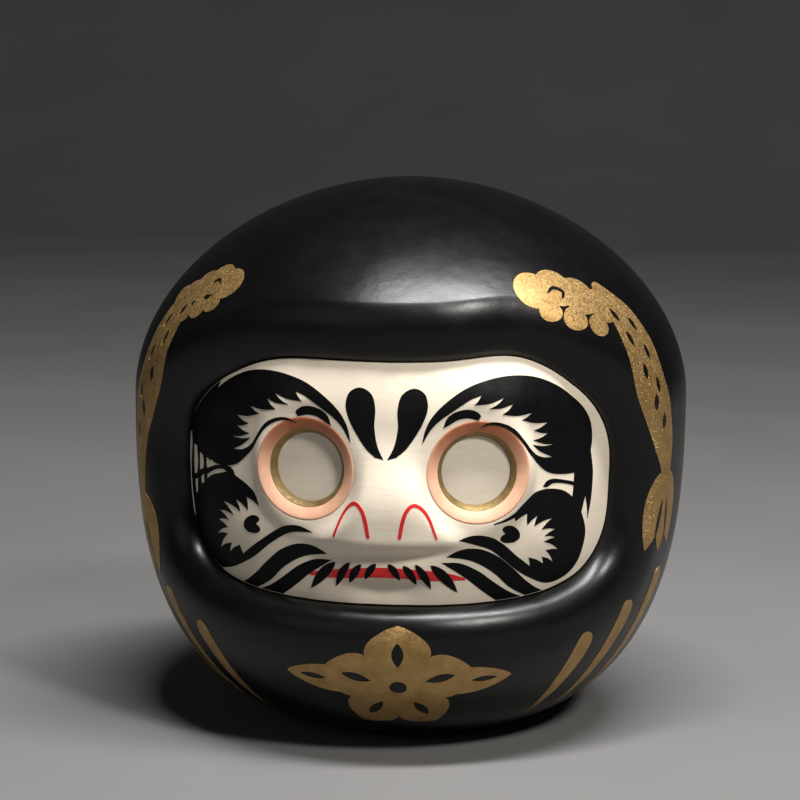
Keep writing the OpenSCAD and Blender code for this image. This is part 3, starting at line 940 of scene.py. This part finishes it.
# Each whisker as its top and its foot, measured from the middle of the mouth, and its width
WHISKERS = [((1.2, 35.7), (3.6, 32.9), 1.35), ((4.2, 35.5), (7, 32), 1.5),
            ((6.6, 35.7), (10, 31.2), 1.5), ((9.7, 35.5), (15.6, 30.5), 1.9)]


def leaf(top, foot, width):
    """Pointed brush mark, widest a little above its middle."""
    top, foot = np.array(top, float), np.array(foot, float)
    along = foot - top
    across = np.array([-along[1], along[0]]) / math.hypot(*along)
    t = np.linspace(0, 1, 17)[:, None]
    half = width / 2 * np.sin(math.pi * t ** 0.85) ** 0.8
    mid = top + t * along + across * 0.2 * np.sin(math.pi * t)
    return np.concatenate([mid + across * half, (mid - across * half)[-2:0:-1]])


def smooth(runs):
    return joined(*(curve(run) for run in runs))


def face_paint():
    keep = outline(OUTLINE_ANGLES, -PANEL_GAP - 0.15)
    fine = 0.6

    def black(name, *loops, cuts=(), step=0.8, lift=PAINT_LIFT):
        painted(name, MAT_BLACK, "paint_black", face_surface, loops, cuts, step, lift, within=keep)

    def red(name, loop, lift=PAINT_LIFT):
        painted(name, MAT_RED, "paint_red", face_surface, [loop], (), fine, lift, within=keep)

    def both(name, loop):
        black(f"{name}_right", loop)
        black(f"{name}_left", mirrored(loop))

    black("brow_and_beard_right", brow(), right_beard(), smooth(GAP_STROKE))
    black("brow_and_beard_left", mirrored(brow()), mirrored(left_beard()),
          cuts=[mirrored(p) for p in RIM_SLIVERS + [smooth([STROKE_EDGE, STROKE_INSIDE])]])
    both("lid_crescent", smooth(CRESCENT))
    both("moustache_middle", smooth(WAVE_2))
    both("moustache_lower", smooth(WAVE_3))
    black("beard_spot_right", smooth(HEART))
    black("beard_spot_left", mirrored(smooth(HEART) + LEFT_SPOT_SHIFT))
    both("forehead_drop", joined(curve(TEAR), [TEAR[-1], TEAR[0]]))
    nostril = stroke(NOSTRIL, NOSTRIL_WIDTHS, 0.2)
    red("nostril_right", nostril)
    red("nostril_left", mirrored(nostril))
    red("mouth", smooth(MOUTH), lift=0.05)
    for word, side in SIDES:
        for i, (top, foot, width) in enumerate(WHISKERS):
            mark = leaf(top, foot, width) * [side, 1] + [MOUTH_S, 0]
            black(f"whisker_{word}_{i + 1}", mark, step=fine, lift=0.12)


# ---- Gold paint on the body ----
# Generic motifs: a blossom on the belly, a cloud with a ribbon on each side, and long petals.


def on_body(azimuth, z):
    """Body coordinates, as body_surface takes them, of an azimuth in degrees and a height."""
    rise = math.atan2(z - WIDE_Z, float(body_r(z)))
    return np.array([math.radians(azimuth), rise]) * HALF_W


def placed(loop, azimuth, z, turn=0.0):
    """Loop in flat millimetres, turned and laid on the body round a point, without stretching it."""
    anchor = on_body(azimuth, z)
    steps = [body_surface((anchor + d)[None]) - body_surface((anchor - d)[None]) for d in np.eye(2) * 0.5]
    return anchor + spun(loop, turn) / [np.linalg.norm(steps[0]), np.linalg.norm(steps[1])]


def petal(length, width, start, point):
    """Rounded petal that leaves the origin along +Y. A higher point value makes its foot thinner."""
    t = np.linspace(0, 1, 29)
    half = width / 2 * np.sin(math.pi * t ** point) ** 0.75
    y = start + (length - start) * t
    return np.concatenate([np.stack([half, y], axis=1), np.stack([-half, y], axis=1)[-2:0:-1]])


def drop(length, width):
    """Long drop with its pointed foot at the origin and its round head along +Y."""
    radius = width / 2
    y = np.linspace(0, length - radius, 25)
    side = np.stack([radius * np.sin(math.pi / 2 * y / y[-1]) ** 0.8, y], axis=1)
    turn = np.linspace(0, math.pi, 13)[1:-1]
    head = radius * np.stack([np.cos(turn), np.sin(turn)], axis=1) + [0, y[-1]]
    return np.concatenate([side, head, (side * [-1, 1])[:0:-1]])


def gold(name, adds, cuts=()):
    painted(name, MAT_GOLD, "paint_gold", shell_surface, adds, cuts, step=0.9, lift=0.08)


def blossom():
    """Five broad petals round a ringed centre, between two leaves."""
    petals = [spun(petal(13.0, 10.5, 0.5, 1.3), 72 * i) for i in range(5)]
    veins = [spun(petal(9.8, 1.9, 4.8, 1.1), 72 * i) for i in range(5)]
    leaves = [spun(petal(19.5, 6.4, 3.0, 1.0), turn) for turn in (83, -83)]
    leaf_veins = [spun(petal(17.0, 1.3, 12.5, 1.0), turn) for turn in (83, -83)]
    adds = petals + leaves + [circle((0, 0), 3.0)]
    cuts = veins + leaf_veins + [circle((0, 0), 1.5)]
    gold("belly_blossom", *([placed(p, 3, 14.0) for p in group] for group in (adds, cuts)))


def long_petals():
    """Three long drops low on each side, further round and higher one after the other."""
    for word, side in SIDES:
        for i in range(3):
            top, foot = on_body(49.5 + 12.5 * i, 22.0 + 4.2 * i), on_body(44.0 + 11.0 * i, 5.5 + 0.5 * i)
            along = top - foot
            turn = -math.degrees(math.atan2(along[0], along[1]))
            mark = spun(drop(math.hypot(*along), 4.3), turn) + foot
            gold(f"long_petal_{word}_{i + 1}", [mark if side > 0 else mirrored(mark)])


# The ribbon's middle as azimuth and height, and its width at those places
RIBBON = [(57.5, 80.5), (60.5, 76), (62, 71), (63.5, 65), (66.5, 59), (69, 53), (69.8, 47.5)]
RIBBON_WIDTHS = [4, 8.5, 10, 9, 7.5, 6, 3.4]
# Lobes of the cloud as across, up and radius
CLOUD_LOBES = [(-8.2, 0.8, 3.9), (-3.6, 2.2, 4), (1.2, 1.2, 3.9), (5.8, -0.2, 3.4), (9.8, -0.2, 2.5),
               (-5.4, -3.2, 2.1), (-0.8, -3.8, 2.3), (3.8, -4.4, 2)]
CLOUD_TURN = -14
# Slots of the ribbon as share of its length, shift to the side and turn in degrees
RIBBON_SLOTS = [(0.16, -1.6, 25), (0.22, 2.2, 25), (0.30, -1.6, 15), (0.38, 1.8, 12), (0.47, -1.2, 10),
                (0.55, 1.5, 8), (0.64, -0.6, 8), (0.74, 0.6, 6)]


def side_ornament(word, side, cloud_at, cloud_size, tail):
    """A cloud, and a slotted ribbon that hangs from it and ends in a tassel."""
    def on_cloud(loop):
        return placed(loop, *cloud_at, CLOUD_TURN)

    cloud = [on_cloud(circle((x * cloud_size, z), r * (cloud_size + 1) / 2)) for x, z, r in CLOUD_LOBES]
    swirl = stroke([(-5.5, 0.6), (-4.0, 2.0), (-2.2, 1.4), (-2.6, 0.0)], [0.3, 0.8, 0.8, 0.4])
    knot = on_body(69.8, 48.5 - tail)
    path = [tuple(on_body(*q)) for q in RIBBON[:-1]] + [tuple(knot)]
    middle = np.array(curve(path, 0.3))
    slots = [on_cloud(swirl * [cloud_size, 1])]
    for share, shift, turn in RIBBON_SLOTS:
        at = middle[int(share * len(middle))] + [shift, -1.6]
        slots.append(spun(petal(3.2, 1.3, 0, 1.0), turn) + at)
    tassel = [spun(petal(13.5, 6.4, 0, 0.7), turn) + knot for turn in (160, 180, 200)]
    slots += [spun(petal(12.0, 1.1, 4.6, 1.0), turn) + knot for turn in (170, 190)]
    adds = cloud + [stroke(path, RIBBON_WIDTHS)] + tassel
    if side < 0:
        adds, slots = [mirrored(p) for p in adds], [mirrored(p) for p in slots]
    gold(f"side_ornament_{word}", adds, slots)


def body_paint():
    blossom()
    long_petals()
    side_ornament("right", 1, (47.0, 79.5), 1.0, 0.0)
    side_ornament("left", -1, (54.0, 79.5), 0.75, 6.0)


# ---- Base ----


def turned(name, profile, material, slot, node):
    """A solid turned about the doll's axis, from a profile that starts and ends on the axis."""
    count = 180
    turn = full_turn(count)
    rings = [np.stack([r * np.cos(turn), r * np.sin(turn), z + 0 * turn], axis=-1) for r, z in profile[1:-1]]
    verts = np.concatenate(rings + [np.array([(0, 0, profile[0][1]), (0, 0, profile[-1][1])])])
    poles, top = len(rings) * count, (len(rings) - 1) * count
    faces = [f[::-1] for f in ring_faces(len(rings), count)]
    for j in range(count):
        k = (j + 1) % count
        faces.append((poles, k, j))
        faces.append((poles + 1, top + j, top + k))
    return part(make_object(name, verts, faces, material), slot, node)


def base():
    """The clay weight, whose rebate and domed plug reach up into the shells, and the paper under it."""
    shoulder_z = BASE_JOINT_Z - 0.02
    plug_r = float(body_r(BASE_JOINT_Z, WALL)) - PLUG_GAP
    side = [(float(body_r(z)), z) for z in np.linspace(PAPER_T, shoulder_z, 12)]
    plug = [(plug_r + 0.1, shoulder_z), (plug_r, BASE_JOINT_Z + 0.1), (plug_r, PLUG_Z - 0.4)]
    dome = [(plug_r * math.cos(a), PLUG_Z + (DOME_Z - PLUG_Z) * math.sin(a))
            for a in np.linspace(0, math.pi / 2, 16)[:-1]]
    profile = [(0, PAPER_T), (12.0, PAPER_T)] + side + plug + dome + [(0, DOME_Z)]
    turned("base_weight_clay", profile, MAT_BODY, "clay", "base_weight")
    sheet = [(0, 0), (10, 0), (PAPER_R - 0.15, 0), (PAPER_R, 0.1), (PAPER_R, PAPER_T - 0.05),
             (PAPER_R - 0.1, PAPER_T), (0, PAPER_T)]
    turned("base_paper_washi", sheet, MAT_WASHI, "washi", "base_paper")


# ---- Stage, lights and camera ----


def floor():
    """Pale floor that curves up into a backdrop well behind the doll."""
    mat = Nodes("floor")
    mat.shader.inputs["Roughness"].default_value = 0.9
    mat.shader.inputs["Specular IOR Level"].default_value = 0.1
    mat.base(mat.between(mat.noise(0.01, 2, 0.5), (0.155, 0.152, 0.15), (0.175, 0.172, 0.17)))
    half_w, front, height = 3000.0, -2500.0, 3000.0
    bend, start = 700.0, 900.0
    turns = np.linspace(0.05, math.pi / 2, 24)
    profile = [(front, 0.0), (start, 0.0)]
    profile += [(start + bend * math.sin(a), bend * (1 - math.cos(a))) for a in turns]
    profile += [(start + bend, height)]
    verts = [(x, y, z) for x in (-half_w, half_w) for y, z in profile]
    n = len(profile)
    faces = [(j, n + j, n + j + 1, j + 1) for j in range(n - 1)]
    make_object("floor", verts, faces, mat.material)


def direction(azimuth, elevation):
    """Unit vector at these angles in degrees, azimuth 0 in front and positive to the viewer's right."""
    a, e = math.radians(azimuth), math.radians(elevation)
    return Vector((math.sin(a) * math.cos(e), -math.cos(a) * math.cos(e), math.sin(e)))


def area_light(name, size, power, azimuth, elevation, distance, target=(0, 0, 50), colour=(1, 1, 1)):
    """A soft light of this size and power, in the given direction from the target."""
    data = bpy.data.lights.new(name, "AREA")
    data.shape = "RECTANGLE"
    data.size, data.size_y = size[0] * MM, size[1] * MM
    data.energy = power
    data.color = colour
    aim = Vector(target) * MM
    place = aim + direction(azimuth, elevation) * distance * MM
    obj = linked(name, data)
    obj.location = place
    obj.rotation_euler = (aim - place).to_track_quat("-Z", "Y").to_euler()


def lights():
    area_light("key", (130, 130), 5.5, 41, 41, 900, colour=(1.0, 0.97, 0.92))
    area_light("overhead", (360, 70), 5.5, 17, 73, 520, target=(60, 25, 50))
    area_light("fill", (900, 600), 0.6, -30, 20, 1100)
    world = bpy.data.worlds.new("studio")
    world.use_nodes = True
    background = world.node_tree.nodes["Background"]
    background.inputs["Color"].default_value = (0.9, 0.92, 0.95, 1)
    background.inputs["Strength"].default_value = 0.03
    bpy.context.scene.world = world
    bpy.context.scene.view_settings.view_transform = "Standard"


def camera():
    """The picture's view: a little from above and from the viewer's right of the doll's middle."""
    azimuth, elevation, roll, distance = 5.4, 10, 0.5, 500.0
    level, aim_above, aim_left = 47.0, 10.2, 1.95
    spot = direction(azimuth, elevation) * distance + Vector((0, 0, level))
    right = Vector((math.cos(math.radians(azimuth)), math.sin(math.radians(azimuth)), 0))
    aim = Vector((0, 0, level + aim_above)) - right * aim_left
    data = bpy.data.cameras.new("camera")
    data.sensor_width = 36
    data.lens = 122.8
    data.clip_start = 0.01
    obj = linked("camera", data)
    turn = (aim - spot).to_track_quat("-Z", "Y").to_matrix() @ Matrix.Rotation(math.radians(roll), 3, "Z")
    obj.matrix_world = Matrix.Translation(spot * MM) @ turn.to_4x4()
    bpy.context.scene.camera = obj


# ---- Making ----

camera()
front_shell()
rear_shell()
face_panel()
for eye_side in (-1, 1):
    eye(eye_side)
face_paint()
body_paint()
base()
for strip in ("seam_strip_left", "seam_strip_right", "seam_strip_crown"):
    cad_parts[strip].data.materials.clear()
    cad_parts[strip].data.materials.append(MAT_WASHI)
floor()
lights()
